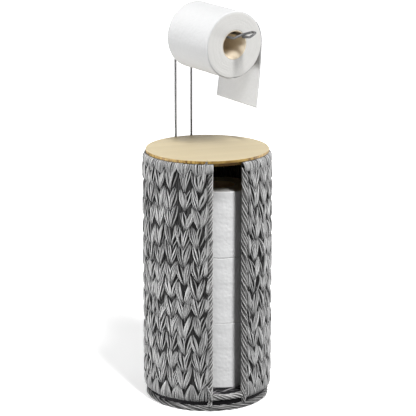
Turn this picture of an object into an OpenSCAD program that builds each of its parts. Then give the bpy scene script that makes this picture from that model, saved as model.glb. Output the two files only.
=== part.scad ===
// Basket on a steel frame for spare toilet rolls, with a bamboo lid and a wire arm for one roll.
// Millimetres. +Z is up, the slot faces -Y, the origin is under the middle of the base ring.

/* [Basket] */
// Radius of the circle that the rim hoop, the lower hoop and the posts follow
hoop_radius = 88; // [84:0.5:94]
// Height of the top of the woven rim
basket_height = 367; // [350:1:385]
// Depth of the weave outside the hoops' circle
weave_depth = 6.2; // [6:0.1:9]
// Depth of the furrows between two columns of the weave
furrow_depth = 3.6; // [2:0.1:4]
// Number of columns of the weave, each round one stake
column_count = 24; // [22:1:26]
// Angle from the middle of the slot to the first column
first_column_angle = 27.6; // [26.5:0.1:29]
// Height of the woven border over the lower hoop
lower_border_height = 13; // [11:0.5:16]
// Height of the woven border over the rim hoop
rim_border_height = 15; // [13:0.5:20]

/* [Slot] */
// Angle from the middle of the slot to each post's axis
post_angle = 17.05; // [14:0.05:22]
// Outer radius of the twisted wrap on a post
post_wrap_radius = 4.5; // [3.6:0.1:5]
// Outer radius of the twisted wrap on the sill
sill_wrap_radius = 4.3; // [3.6:0.1:4.5]
// Bend radius of the rim wire where it turns down into a post
corner_bend = 6; // [5.5:0.5:12]

/* [Frame wires] */
// Radius of the hoops, posts and base ring wire
frame_wire_radius = 1.75; // [1.5:0.05:2]
// Radius of the upright stakes inside the weave
stake_radius = 1.4; // [1:0.1:1.5]

/* [Base] */
// How much smaller than the hoops' circle the base ring is
ring_inset = 1.4; // [0.8:0.2:4]
// Outer radius of the wrap on the base ring
ring_wrap_radius = 4.3; // [3.8:0.1:4.8]
// Depth of the flat that the base ring's wrap is pressed to underneath
ring_flat = 0.4; // [0.2:0.1:0.6]
// Thickness of the floor board
board_thickness = 15; // [14.5:0.5:18]
// How far the lower hoop's middle lies below the board's top face
hoop_drop = 2.8; // [2.4:0.1:3.2]
// Radius of the wrap on the two short feet
foot_wrap_radius = 3.6; // [2.8:0.1:4.2]

/* [Lid] */
// Gap between the bamboo board's edge and the arm's legs
lid_leg_gap = 0.35; // [0.3:0.05:2]
// Thickness of the bamboo board
lid_thickness = 5; // [4:0.5:8]
// Thickness of the disc under it
plug_thickness = 5; // [3:0.5:8]
// Gap between that disc and the post wraps
plug_gap = 0.7; // [0.4:0.1:2]
// Gap between the board and the rim
lid_rest_gap = 0.3; // [0.2:0.05:0.5]
// Chamfer on the board's edges
lid_chamfer = 0.8; // [0.3:0.1:1.5]

/* [Arm] */
// Radius of the arm's wire
arm_wire_radius = 1.7; // [1.4:0.1:1.8]
// Distance between the two legs
leg_spread = 25.2; // [22:0.2:30]
// Angle of the legs' midpoint from straight behind the slot
leg_angle = 3.4; // [0:0.2:6]
// Angle the two rods turn from the slot's direction
arm_yaw = 16.3; // [6:0.1:18]
// Angle the two rods slope down to the front
arm_droop = 2.5; // [0:0.1:5]
// Distance from the legs to the roll's near face
arm_reach = 126; // [122:1:134]
// Height of the roll's axis at its near face
roll_axis_height = 524.3; // [520:0.1:560]
// Bend radius at the top of each leg
leg_bend = 8; // [5:0.5:14]
// Bend radius in the end loop
loop_bend = 5; // [4:0.1:5.2]
// Distance of the first bend in front of the roll's near face
loop_start = 13; // [10:0.5:16]
// Distance of the loop's tip in front of the roll's near face
loop_tip = 48.4; // [46:0.2:54]
// Height of the loop's tip over the rods
loop_rise = 13; // [11:0.5:16]
// Half width of the loop
loop_half_width = 8; // [7:0.5:10]

/* [Rolls] */
// Width of a roll
roll_width = 98; // [94:0.5:98]
// Outer radius of a stored roll
stored_radius = 49.5; // [46:0.5:56]
// Outer radius of the roll on the arm
hung_radius = 48.5; // [40:0.5:54]
// Inner radius of the cardboard tubes
core_inner_radius = 19.8; // [19.2:0.1:22]
// Thickness of the cardboard
core_wall = 1.2; // [0.8:0.1:1.5]
// Gap between the arm's rods and the tube that hangs on them
hang_gap = 0.3; // [0.2:0.05:0.6]
// Gap between two stored rolls, and under the lowest
stack_gap = 0.4; // [0.2:0.1:1]
// How far the stored rolls stand to the right of the basket's middle
stored_shift_right = 16; // [-16:1:20]
// How far the stored rolls stand from the basket's middle towards the slot
stored_shift_front = 10; // [-10:1:16]
// Chamfer on a roll's paper edges
roll_chamfer = 1.0; // [0.5:0.1:2]
// Length of the hanging end below the roll's axis
tail_length = 97; // [60:1:98]
// Thickness of the hanging end
tail_thickness = 0.5; // [0.4:0.1:0.8]
// Radius that the hanging end curves to
tail_curve = 820; // [500:10:2000]

/* [Hidden] */
$fn = 96;
// A straight reaches this far into the bend beside it, and the bend is this much thicker
lap = 0.05;
swell = 0.02;
// The two borders' bores are this much wider than the wires in them
bore_gap = 0.05;

wall_outer = hoop_radius + weave_depth;
ring_radius = hoop_radius - ring_inset;
ring_z = ring_wrap_radius - ring_flat;
board_z = ring_z + ring_wrap_radius;
floor_z = board_z + board_thickness;
lower_hoop_z = floor_z - hoop_drop;
rim_hoop_z = basket_height - rim_border_height / 2;
wall_inner = hoop_radius - frame_wire_radius + 0.05;
board_radius = wall_inner - 0.1;

border_bottom = lower_hoop_z - 5.4;
wall_bottom = border_bottom + lower_border_height;
wall_top = basket_height - rim_border_height;
valley_radius = wall_outer - furrow_depth;

post_radius = norm([hoop_radius, corner_bend]);
corner_angle = post_angle + atan(corner_bend / hoop_radius);
wall_start = post_angle + 1.85;
foot_radius = hoop_radius + 0.1;
foot_bottom = ring_z + frame_wire_radius;
foot_top = lower_hoop_z - frame_wire_radius;

stake_circle = hoop_radius + frame_wire_radius + stake_radius;
leg_circle = hoop_radius + frame_wire_radius + arm_wire_radius;
upright_bottom = lower_hoop_z - 3.4;
stake_top = rim_hoop_z + 3;
leg_half_angle = asin(leg_spread / 2 / leg_circle);
leg_left_angle = 180 + leg_angle + leg_half_angle;
leg_right_angle = 180 + leg_angle - leg_half_angle;
column_step = (360 - 2 * first_column_angle) / (column_count - 1);
stake_angles = [
  for (i = [0 : column_count - 1])
    let (a = first_column_angle + i * column_step)
      if (min(abs(a - leg_left_angle), abs(a - leg_right_angle)) > column_step / 2) a
];
column_radius = 0.64 * wall_outer * sin(column_step);

lid_radius = leg_circle - arm_wire_radius - lid_leg_gap;
lid_z = basket_height + lid_rest_gap;
plug_radius = post_radius - post_wrap_radius - plug_gap;

// The arm's frame: x to the side, y up and z forward along the roll's axis
fwd = [sin(arm_yaw) * cos(arm_droop), -cos(arm_yaw) * cos(arm_droop), -sin(arm_droop)];
side = [cos(arm_yaw), sin(arm_yaw), 0];
upward = cross(fwd, side);
leg_mid = around(leg_circle * cos(leg_half_angle), 180 + leg_angle, 0);
near_face = [
  leg_mid.x + arm_reach * sin(arm_yaw),
  leg_mid.y - arm_reach * cos(arm_yaw),
  roll_axis_height
];
rod_side = leg_spread / 2 * cos(arm_yaw - leg_angle);
rod_circle = core_inner_radius - hang_gap - arm_wire_radius;
rod_up = sqrt(rod_circle * rod_circle - rod_side * rod_side);
core_outer_radius = core_inner_radius + core_wall;

stored_z = [for (i = [0 : 2]) floor_z + stack_gap + i * (roll_width + stack_gap)];

// A point at an angle from the slot's middle, turning to the right seen from the front
function around(r, angle, z) = [r * sin(angle), -r * cos(angle), z];

function unit(v) = v / norm(v);

// A point in the arm's frame, from the middle of the roll's near face
function on_arm_point(x, y, z) = near_face + x * side + y * upward + z * fwd;

// Places its children in the arm's frame
module on_arm() {
  multmatrix([
    [side.x, upward.x, fwd.x, near_face.x],
    [side.y, upward.y, fwd.y, near_face.y],
    [side.z, upward.z, fwd.z, near_face.z],
    [0, 0, 0, 1]
  ])
    children();
}

// A straight rod from a to b
module rod(a, b, r) {
  d = b - a;
  translate(a)
    rotate([0, acos(d.z / norm(d)), atan2(d.y, d.x)])
      cylinder(h = norm(d), r = r);
}

// A bend of radius bend_r at the corner p, from the direction d1 to the direction d2
module bend(p, d1, d2, bend_r, r) {
  turn = acos(d1 * d2);
  n = unit(cross(d1, d2));
  inward = cross(n, d1);
  c = p - d1 * bend_r * tan(turn / 2) + inward * bend_r;
  multmatrix([
    [-inward.x, d1.x, n.x, c.x],
    [-inward.y, d1.y, n.y, c.y],
    [-inward.z, d1.z, n.z, c.z],
    [0, 0, 0, 1]
  ])
    rotate_extrude(angle = turn)
      translate([bend_r, 0])
        circle(r + swell);
}

// How much of a straight a bend takes at the corner i of a path
function taken(points, bends, i) =
  (i == 0 || i == len(points) - 1)
    ? 0
    : bends[i] * tan(acos(unit(points[i] - points[i - 1]) * unit(points[i + 1] - points[i])) / 2);

// One bent wire through the corners given, with a bend radius at each
module bent_wire(points, bends, r) {
  last = len(points) - 1;
  for (i = [0 : last - 1]) {
    d = unit(points[i + 1] - points[i]);
    rod(
      points[i] + d * (taken(points, bends, i) - (i == 0 ? 0 : lap)),
      points[i + 1] - d * (taken(points, bends, i + 1) - (i == last - 1 ? 0 : lap)),
      r
    );
  }
  for (i = [1 : last - 1])
    bend(
      points[i],
      unit(points[i] - points[i - 1]),
      unit(points[i + 1] - points[i]),
      bends[i],
      r
    );
}

// A round bar bent to a circle, from one angle to another
module arc_bar(circle_r, r, z, from, to) {
  rotate([0, 0, from - 90])
    rotate_extrude(angle = to - from)
      translate([circle_r, z])
        circle(r);
}

module full_bar(circle_r, r, z) {
  translate([0, 0, z])
    rotate_extrude()
      translate([circle_r, 0])
        circle(r);
}

// A band that runs round the basket from post to post, of the given outline
module band(outline, from) {
  rotate([0, 0, from - 90])
    rotate_extrude(angle = 360 - 2 * from)
      polygon(outline);
}

// A post with the bend at its top, on the right of the slot
module post(r, bottom) {
  foot = around(post_radius, post_angle, bottom);
  corner = [foot.x, foot.y, rim_hoop_z];
  translate(foot)
    cylinder(h = rim_hoop_z - corner_bend - bottom + lap, r = r);
  bend(corner, [0, 0, 1], [cos(corner_angle), sin(corner_angle), 0], corner_bend, r);
}

module both_posts(r, bottom) {
  post(r, bottom);
  mirror([1, 0, 0])
    post(r, bottom);
}

module uprights(from, to, stake_r, leg_r) {
  for (a = stake_angles)
    translate(around(stake_circle, a, from))
      cylinder(h = to - from, r = stake_r);
  for (a = [leg_left_angle, leg_right_angle])
    translate(around(leg_circle, a, from))
      cylinder(h = to - from, r = leg_r);
}

module feet(r, bottom, top) {
  for (a = [-post_angle, post_angle])
    translate(around(foot_radius, a, bottom))
      cylinder(h = top - bottom, r = r);
}

// A ring of paper or card between two radii, chamfered on its outer edges
module ring(inner, outer, height, chamfer) {
  rotate_extrude()
    polygon([
      [inner, 0],
      [outer - chamfer, 0],
      [outer, chamfer],
      [outer, height - chamfer],
      [outer - chamfer, height],
      [inner, height]
    ]);
}

// BASE

module base_ring_wire() {
  color("#3a3a3c")
    full_bar(ring_radius, frame_wire_radius, ring_z);
}

module base_ring_wrap() {
  color("#8f8f90")
    difference() {
      full_bar(ring_radius, ring_wrap_radius, ring_z);
      full_bar(ring_radius, frame_wire_radius, ring_z);
      feet(frame_wire_radius, foot_bottom - 1, foot_top);
      translate([-2 * ring_radius, -2 * ring_radius, -2 * ring_wrap_radius])
        cube([4 * ring_radius, 4 * ring_radius, 2 * ring_wrap_radius]);
    }
}

module foot_wires() {
  color("#3a3a3c")
    feet(frame_wire_radius, foot_bottom, foot_top);
}

module foot_wraps() {
  color("#8f8f90")
    difference() {
      feet(foot_wrap_radius, ring_z + 2, lower_hoop_z - sill_wrap_radius - lap);
      feet(frame_wire_radius, foot_bottom - 2, foot_top + 2);
      full_bar(ring_radius, ring_wrap_radius, ring_z);
      translate([0, 0, board_z - 5])
        cylinder(h = board_thickness + 5, r = board_radius);
    }
}

module floor_board() {
  color("#2b2a2c")
    translate([0, 0, board_z])
      cylinder(h = board_thickness, r = board_radius);
}

// FRAME

module lower_hoop() {
  color("#3a3a3c")
    full_bar(hoop_radius, frame_wire_radius, lower_hoop_z);
}

module sill_wrap() {
  color("#9a9a9b")
    difference() {
      arc_bar(hoop_radius, sill_wrap_radius, lower_hoop_z, -post_angle + 0.6, post_angle - 0.6);
      full_bar(hoop_radius, frame_wire_radius, lower_hoop_z);
      both_posts(post_wrap_radius, 0);
      translate([0, 0, board_z])
        cylinder(h = board_thickness, r = board_radius);
    }
}

module rim_wire() {
  color("#3a3a3c") {
    arc_bar(hoop_radius, frame_wire_radius, rim_hoop_z, corner_angle - 0.03, 360.03 - corner_angle);
    both_posts(frame_wire_radius, lower_hoop_z + frame_wire_radius);
  }
}

// The wrap of the right-hand post, bored for its wire and for the lower hoop
module post_wrap() {
  difference() {
    post(post_wrap_radius, lower_hoop_z - sill_wrap_radius);
    post(frame_wire_radius, lower_hoop_z);
    full_bar(hoop_radius, frame_wire_radius, lower_hoop_z);
    feet(frame_wire_radius, foot_bottom, foot_top);
    translate([0, 0, board_z])
      cylinder(h = board_thickness, r = board_radius);
  }
}

module left_post_wrap() {
  color("#9a9a9b")
    mirror([1, 0, 0])
      post_wrap();
}

module right_post_wrap() {
  color("#9a9a9b")
    post_wrap();
}

module stakes() {
  color("#4a4a4c")
    for (a = stake_angles)
      translate(around(stake_circle, a, upright_bottom))
        cylinder(h = stake_top - upright_bottom, r = stake_radius);
}

// WEAVE

module lower_border() {
  color("#939395")
    difference() {
      band([
        [wall_inner, border_bottom + 1],
        [wall_inner + 1.5, border_bottom],
        [wall_outer - 2, border_bottom],
        [wall_outer - 0.3, border_bottom + 2.5],
        [wall_outer, border_bottom + lower_border_height / 2],
        [wall_outer - 0.4, wall_bottom - 2.5],
        [wall_outer - 1.2, wall_bottom],
        [wall_inner, wall_bottom]
      ], wall_start);
      full_bar(hoop_radius, frame_wire_radius + bore_gap, lower_hoop_z);
      both_posts(post_wrap_radius, 0);
      uprights(
        upright_bottom - bore_gap,
        wall_bottom + 5,
        stake_radius + bore_gap,
        arm_wire_radius + bore_gap
      );
    }
}

module woven_wall() {
  color("#a2a2a3")
    difference() {
      intersection() {
        band([
          [wall_inner, wall_bottom],
          [wall_outer + 5, wall_bottom],
          [wall_outer + 5, wall_top],
          [wall_inner, wall_top]
        ], wall_start);
        columns();
      }
      both_posts(post_wrap_radius, 0);
      uprights(wall_bottom - 5, wall_top + 5, stake_radius, arm_wire_radius);
    }
}

// The full columns of the weave, one round each stake and each leg
module columns() {
  height = wall_top - wall_bottom + 2;
  translate([0, 0, wall_bottom - 1])
    cylinder(h = height, r = valley_radius);
  for (a = concat(stake_angles, [leg_left_angle, leg_right_angle]))
    translate(around(wall_outer - column_radius, a, wall_bottom - 1))
      cylinder(h = height, r = column_radius);
}

module rim_border() {
  color("#8a8a8c")
    difference() {
      band([
        [wall_inner, wall_top],
        [wall_outer - 1.2, wall_top],
        [wall_outer - 0.2, wall_top + 3],
        [wall_outer, wall_top + 6],
        [wall_outer - 0.5, basket_height - 5],
        [wall_outer - 2, basket_height - 2],
        [wall_outer - 4.2, basket_height],
        [wall_inner + 1.4, basket_height],
        [wall_inner, basket_height - 1.4]
      ], corner_angle);
      arc_bar(
        hoop_radius,
        frame_wire_radius + bore_gap,
        rim_hoop_z,
        corner_angle - 1,
        361 - corner_angle
      );
      for (a = stake_angles)
        translate(around(stake_circle, a, wall_top - 5))
          cylinder(h = stake_top - wall_top + 5, r = stake_radius + bore_gap);
      for (a = [leg_left_angle, leg_right_angle])
        translate(around(leg_circle, a, wall_top - 5))
          cylinder(h = 2 * rim_border_height, r = arm_wire_radius + bore_gap);
    }
}

// LID

module lid_board() {
  color("#d9c39a")
    translate([0, 0, lid_z])
      rotate_extrude()
        polygon([
          [0, 0],
          [lid_radius - lid_chamfer, 0],
          [lid_radius, lid_chamfer],
          [lid_radius, lid_thickness - lid_chamfer],
          [lid_radius - lid_chamfer, lid_thickness],
          [0, lid_thickness]
        ]);
}

module lid_plug() {
  color("#c8ad7c")
    translate([0, 0, lid_z - plug_thickness])
      cylinder(h = plug_thickness, r = plug_radius);
}

// ARM

// Top corner of a leg, on the line of its rod
function leg_corner(leg) =
  let (
    start = on_arm_point(0, rod_up, 0),
    back = (start.x - leg.x) * sin(arm_yaw) - (start.y - leg.y) * cos(arm_yaw)
  )
    [leg.x, leg.y, start.z + back * tan(arm_droop)];

module roll_arm() {
  left = around(leg_circle, leg_left_angle, upright_bottom);
  right = around(leg_circle, leg_right_angle, upright_bottom);
  w = loop_half_width;
  span = loop_tip - loop_start;
  // The two rods cross here, one over the other
  cross_z = loop_start + 0.16 * span;
  over = 1.15 * arm_wire_radius;
  points = [
    left,
    leg_corner(left),
    on_arm_point(-rod_side, rod_up, loop_start),
    on_arm_point(0, rod_up + 0.29 * loop_rise + over, cross_z),
    on_arm_point(w, rod_up + 0.78 * loop_rise, loop_start + 0.475 * span),
    on_arm_point(0, rod_up + loop_rise, loop_tip),
    on_arm_point(-w, rod_up + 0.53 * loop_rise, loop_start + 0.918 * span),
    on_arm_point(0, rod_up + 0.29 * loop_rise - over, cross_z),
    on_arm_point(rod_side, rod_up, loop_start),
    leg_corner(right),
    right
  ];
  b = loop_bend;
  color("#b9babb")
    bent_wire(points, [0, leg_bend, b, b, b, 0.9 * b, 0.9 * b, b, b, leg_bend, 0], arm_wire_radius);
}

// ROLLS

module roll_core() {
  color("#b08a62")
    on_arm()
      translate([0, 0, -roll_width])
        difference() {
          cylinder(h = roll_width, r = core_outer_radius);
          translate([0, 0, -1])
            cylinder(h = roll_width + 2, r = core_inner_radius);
        }
}

module roll_paper() {
  color("#f1f1ef")
    on_arm()
      translate([0, 0, -roll_width])
        ring(core_outer_radius, hung_radius, roll_width, roll_chamfer);
}

module roll_tail() {
  sweep = tail_length / tail_curve * 180 / PI;
  color("#f6f6f5")
    on_arm()
      translate([hung_radius + tail_thickness - tail_curve, 0, -roll_width])
        rotate([0, 0, -sweep])
          rotate_extrude(angle = sweep)
            translate([tail_curve - tail_thickness, 0])
              square([tail_thickness, roll_width]);
}

module stored_core(i) {
  color("#b08a62")
    translate([stored_shift_right, -stored_shift_front, stored_z[i]])
      difference() {
        cylinder(h = roll_width, r = core_outer_radius);
        translate([0, 0, -1])
          cylinder(h = roll_width + 2, r = core_inner_radius);
      }
}

module stored_paper(i) {
  color("#f1f1ef")
    translate([stored_shift_right, -stored_shift_front, stored_z[i]])
      ring(core_outer_radius, stored_radius, roll_width, roll_chamfer);
}

module stored_core_1() {
  stored_core(0);
}

module stored_core_2() {
  stored_core(1);
}

module stored_core_3() {
  stored_core(2);
}

module stored_paper_1() {
  stored_paper(0);
}

module stored_paper_2() {
  stored_paper(1);
}

module stored_paper_3() {
  stored_paper(2);
}

base_ring_wire();
base_ring_wrap();
foot_wires();
foot_wraps();
floor_board();
lower_hoop();
sill_wrap();
rim_wire();
left_post_wrap();
right_post_wrap();
stakes();
lower_border();
woven_wall();
rim_border();
lid_board();
lid_plug();
roll_arm();
roll_core();
roll_paper();
roll_tail();
stored_core_1();
stored_core_2();
stored_core_3();
stored_paper_1();
stored_paper_2();
stored_paper_3();
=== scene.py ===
# %% [markdown]
# # A woven basket for spare toilet rolls
# The basket is a bent wire frame filled with paper strips, closed by a bamboo board,
# and a bent arm behind it carries one more roll. The packed CAD model gives the wires,
# boards and rolls their exact places, and this script dresses it: each cell makes one
# kind of piece, and every piece rides on the CAD body that carries it. Lengths are
# written in millimetres and become Blender's metres where a mesh is made.

import math

import bpy
import numpy as np
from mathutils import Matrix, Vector


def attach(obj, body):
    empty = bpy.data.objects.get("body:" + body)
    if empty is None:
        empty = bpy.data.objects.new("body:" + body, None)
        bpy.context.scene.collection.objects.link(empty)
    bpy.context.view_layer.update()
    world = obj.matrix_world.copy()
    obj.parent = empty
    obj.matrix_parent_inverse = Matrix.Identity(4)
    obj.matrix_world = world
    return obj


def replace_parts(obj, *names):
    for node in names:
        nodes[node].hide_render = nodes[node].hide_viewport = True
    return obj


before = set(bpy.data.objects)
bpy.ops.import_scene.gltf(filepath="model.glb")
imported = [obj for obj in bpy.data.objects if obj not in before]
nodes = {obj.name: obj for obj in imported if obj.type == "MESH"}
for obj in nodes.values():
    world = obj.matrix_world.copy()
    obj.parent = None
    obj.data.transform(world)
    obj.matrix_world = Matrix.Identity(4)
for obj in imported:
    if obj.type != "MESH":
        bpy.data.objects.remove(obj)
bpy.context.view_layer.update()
random = np.random.default_rng(7)

# %% [markdown]
# ## The camera
# The picture is taken from a little above the lid and from the left of the slot. Its
# place, tilt and lens could be set by eye. They were worked out from the ellipses of the
# lid, the base ring and the roll, so that the CAD model falls on the photograph.

# %% Camera
heading = math.radians(19.7)
tilt = 0.248
data = bpy.data.cameras.new("camera")
data.lens = 159.14
data.sensor_width = 36
data.sensor_fit = "HORIZONTAL"
data.clip_end = 50
camera = bpy.data.objects.new("camera", data)
camera.location = (-0.8756, -2.4481, 0.940)
camera.rotation_euler = (math.pi / 2 - tilt, 0, -heading)
bpy.context.scene.collection.objects.link(camera)
bpy.context.scene.camera = camera
bpy.context.scene.view_settings.view_transform = "Standard"
print("camera at", tuple(camera.location))

# %% [markdown]
# ## Materials as small formulas
# A procedural material is a sum of patterns, and reads best as one. The class below
# lets a node's output be added and multiplied like a number, so that the tone of a
# paper strip is written as a formula and not as a list of links.


# %% Shader maths
class Value:
    """One output of a shader node, which can be used in a formula."""

    def __init__(self, made, socket):
        self.made = made
        self.socket = socket

    def maths(self, operation, *others):
        inputs = {0: self, **dict(enumerate(others, 1))}
        return self.made.node("ShaderNodeMath", {"operation": operation}, inputs)

    def __add__(self, other):
        return self.maths("ADD", other)

    __radd__ = __add__

    def __mul__(self, other):
        return self.maths("MULTIPLY", other)

    __rmul__ = __mul__

    def __sub__(self, other):
        return self.maths("SUBTRACT", other)

    def __rsub__(self, other):
        return other + self * -1.0

    def clamped(self, low=0.0, high=1.0):
        return self.maths("MAXIMUM", low).maths("MINIMUM", high)

    def step(self, low, high):
        """0 below low, 1 above high and smooth between them."""
        settings = {"interpolation_type": "SMOOTHSTEP"}
        inputs = {"Value": self, "From Min": low, "From Max": high}
        return self.made.node("ShaderNodeMapRange", settings, inputs)


print("a value can:", ", ".join(name for name in vars(Value) if name[0] != "_"))

# %% [markdown]
# ## A material as an object
# Every material here starts from Blender's one all-round shader. Its node tree could be
# built link by link for each material. This class keeps the few kinds of node that are
# needed, so that a material is a short function: patterns first, then the sockets.


# %% Surface
class Surface:
    """A material that is built up from formulas."""

    def __init__(self, name):
        self.material = bpy.data.materials.new(name)
        self.material.use_nodes = True
        self.tree = self.material.node_tree
        self.shader = self.tree.nodes["Principled BSDF"]

    def node(self, kind, settings=None, inputs=None, output=0):
        made = self.tree.nodes.new(kind)
        for name, value in (settings or {}).items():
            setattr(made, name, value)
        for name, value in (inputs or {}).items():
            self.set(made.inputs[name], value)
        return Value(self, made.outputs[output])

    def set(self, socket, value):
        if isinstance(value, Value):
            self.tree.links.new(value.socket, socket)
        elif isinstance(value, (tuple, list)) and socket.type == "RGBA":
            socket.default_value = (*value, 1.0)
        else:
            socket.default_value = value

    def mix(self, a, b, share):
        """Colour a turning into colour b. A Mix node keeps its colours in sockets 6, 7 and 2."""
        made = self.tree.nodes.new("ShaderNodeMix")
        made.data_type = "RGBA"
        self.set(made.inputs[0], share)
        self.set(made.inputs[6], a)
        self.set(made.inputs[7], b)
        return Value(self, made.outputs[2])

    def shade(self, colour, amount):
        """A colour made lighter or darker by a factor."""
        made = self.tree.nodes.new("ShaderNodeVectorMath")
        made.operation = "SCALE"
        self.set(made.inputs[0], colour if isinstance(colour, Value) else tuple(colour))
        self.set(made.inputs["Scale"], amount)
        return Value(self, made.outputs[0])

    def place(self, scale=(1, 1, 1), turn=(0, 0, 0), source="Object"):
        """The point on the surface, stretched and turned."""
        if source == "strip":
            point = self.node("ShaderNodeUVMap", {"uv_map": "strip"})
        else:
            point = self.node("ShaderNodeTexCoord", output=source)
        inputs = {"Vector": point, "Scale": scale, "Rotation": turn}
        return self.node("ShaderNodeMapping", {}, inputs)

    def noise(self, point, scale, detail=3.0, roughness=0.5):
        inputs = {"Vector": point, "Scale": scale, "Detail": detail, "Roughness": roughness}
        return self.node("ShaderNodeTexNoise", {}, inputs)

    def cells(self, point, feature, output):
        inputs = {"Vector": point, "Scale": 1.0}
        return self.node("ShaderNodeTexVoronoi", {"feature": feature}, inputs, output)

    def attribute(self, name):
        return self.node("ShaderNodeAttribute", {"attribute_name": name}, output="Fac")

    def facing_up(self):
        """1 where the surface faces up and 0 where it is upright."""
        normal = self.node("ShaderNodeNewGeometry", output="Normal")
        return self.node("ShaderNodeSeparateXYZ", {}, {"Vector": normal}, output="Z")

    def finish(self, bump=None, height=0.001, **values):
        """Sets the shader's sockets: numbers on the sockets themselves, formulas by a link."""
        for name, value in values.items():
            self.set(self.shader.inputs[name.replace("_", " ")], value)
        if bump is not None:
            inputs = {"Height": bump, "Distance": height, "Strength": 1.0}
            self.set(self.shader.inputs["Normal"], self.node("ShaderNodeBump", {}, inputs))
        return self.material


print("a surface can:", ", ".join(name for name in vars(Surface) if name[0] != "_"))

# %% [markdown]
# ## Paper strip
# The weave and the wraps are strips of stiff grey paper, folded lengthwise and pressed.
# Close up each strip is a bundle of fine lines that run along it, and no two strips have
# quite the same grey. The lines could be modelled one by one. Noise that is stretched
# along the strip gives them at no cost, and each strip's own tone comes with its mesh.
# That tone also holds painted light: a painted highlight on each fold, and painted shade
# between the folds and on the strip's edges and underside.


# %% Paper strip materials
def paper_strip(name, grey, warmth=0.0, contrast=1.0, sheen=0.0):
    s = Surface(name)
    lines = s.noise(s.place(scale=(0.9, 26.0, 1), source="strip"), 1.0, 3.0, 0.6)
    patches = s.noise(s.place(scale=(0.7, 4.0, 1), source="strip"), 1.0, 2.0)
    uneven = (lines - 0.5) * (0.9 * contrast) + (patches - 0.5) * (1.1 * contrast)
    # The tone attribute holds each strip's own grey together with its painted shade and highlight
    amount = (uneven + 1.0) * s.attribute("tone")
    return s.finish(
        Base_Color=s.shade((grey + warmth, grey, grey - warmth), amount.clamped(0.06, 1.7)),
        Roughness=(0.78 - lines * 0.25).clamped(0.4, 0.9),
        Specular_IOR_Level=0.25,
        Sheen_Weight=sheen,
        Sheen_Roughness=0.5,
        bump=lines + patches * 0.6,
        height=0.0004,
    )


weave_paper = paper_strip("weave_paper", 0.355, 0.0, 1.7, 0.25)
rope_paper = paper_strip("rope_paper", 0.40, 0.003, 1.2, 0.15)
# The inner wall's paper is the outside's paper painted darker: painted shade
shaded_inner_paper = paper_strip("shaded_inner_paper", 0.18, 0.0, 1.6)
# Near-black paper for the strips behind the bundles: painted shade in the gaps of the weave
painted_shade_paper = paper_strip("painted_shade_paper", 0.02)
print("papers:", ", ".join(m.name for m in (weave_paper, rope_paper, shaded_inner_paper, painted_shade_paper)))

# %% [markdown]
# ## Bamboo
# The lid is laminated from strips about 18 mm wide with a fine straight grain, and its
# lacquered edge is a deeper orange with dark fibre ends. A picture of wood would smear
# over the edge. Noise stretched along the grain, and cells for the strips, run through
# the solid as the real grain does.


# %% Bamboo material
def bamboo():
    s = Surface("bamboo")
    grain = (0, 0, math.radians(20))
    fibre = s.noise(s.place(scale=(6, 420, 60), turn=grain), 1.0, 3.0, 0.6)
    cloud = s.noise(s.place(scale=(7, 22, 10), turn=grain), 1.0, 2.0)
    lane = s.cells(s.place(scale=(0.01, 55, 0.01), turn=grain), "F1", "Color")
    lane = s.node("ShaderNodeSeparateColor", {}, {"Color": lane})
    pale, deep = (0.545, 0.465, 0.303), (0.475, 0.386, 0.233)
    top = s.mix(pale, deep, (fibre * 0.7 + cloud * 0.5 - 0.15).clamped())
    top = s.shade(top, lane * 0.07 + 0.965)
    edge = s.mix((0.46, 0.30, 0.085), (0.13, 0.06, 0.012), fibre.step(0.35, 0.7))
    return s.finish(
        Base_Color=s.mix(edge, top, s.facing_up().step(0.3, 0.75)),
        Roughness=(fibre * 0.12 + 0.45).clamped(),
        Specular_IOR_Level=0.25,
        bump=fibre,
        height=0.00006,
    )


bamboo_board = bamboo()
print("bamboo:", len(bamboo_board.node_tree.nodes), "nodes")

# %% [markdown]
# ## The black floor
# The floor is fibreboard painted black, with a few thin grey streaks that show in the
# slot. They could be pieces of their own, but have no height, so they are the highest
# parts of two long noises, each turned its own way. The mapping's TEXTURE type turns a
# stretched pattern as a whole, which its usual type doesn't.


# %% Floor paint
STREAK_ANGLES = (32, 148)
STREAK_SIZE = (0.06, 0.006, 0.02)


def black_board():
    s = Surface("black_board")
    point = s.node("ShaderNodeTexCoord", output="Object")
    light = 0.0
    for angle in STREAK_ANGLES:
        inputs = {"Vector": point, "Rotation": (0, 0, math.radians(angle)), "Scale": STREAK_SIZE}
        streak = s.noise(s.node("ShaderNodeMapping", {"vector_type": "TEXTURE"}, inputs), 1.0, 2.0)
        light = streak.step(0.56, 0.62) + light
    light = light * s.facing_up().step(0.4, 0.8)
    speck = s.noise(s.place(), 900, 2.0)
    share = (light * 0.8 + speck * 0.02).clamped()
    return s.finish(
        Base_Color=s.mix((0.010, 0.0095, 0.011), (0.30, 0.29, 0.30), share),
        Roughness=0.62 + speck * 0.12,
        Specular_IOR_Level=0.08,
        bump=speck + light,
        height=0.0003,
    )


floor_paint = black_board()
print("floor paint:", len(floor_paint.node_tree.nodes), "nodes")

# %% [markdown]
# ## Wire
# The arm is drawn steel and looks dark grey in white surroundings, and the frame's wires
# are black. A pure metal would mirror the white backdrop, so the arm is only part metal,
# and its rim, where wire throws back the most, is held down with the specular tint.


# %% Wire materials
def wire(name, colour, roughness, metallic, rim=1.0):
    """Drawn wire. rim is how much of the light it throws back where it is seen edge on."""
    s = Surface(name)
    brushed = s.noise(s.place(scale=(900, 900, 25)), 1.0, 2.0)
    return s.finish(
        Base_Color=s.shade(colour, brushed * 0.3 + 0.85),
        Roughness=brushed * 0.2 + roughness,
        Metallic=metallic,
        Specular_Tint=(rim, rim, rim),
        bump=brushed,
        height=0.00003,
    )


frame_wire = wire("frame_wire", (0.05, 0.05, 0.055), 0.45, 0.0)
arm_steel = wire("arm_steel", (0.16, 0.16, 0.162), 0.32, 0.55, 0.15)
print("wires:", frame_wire.name, "and", arm_steel.name)

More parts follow.
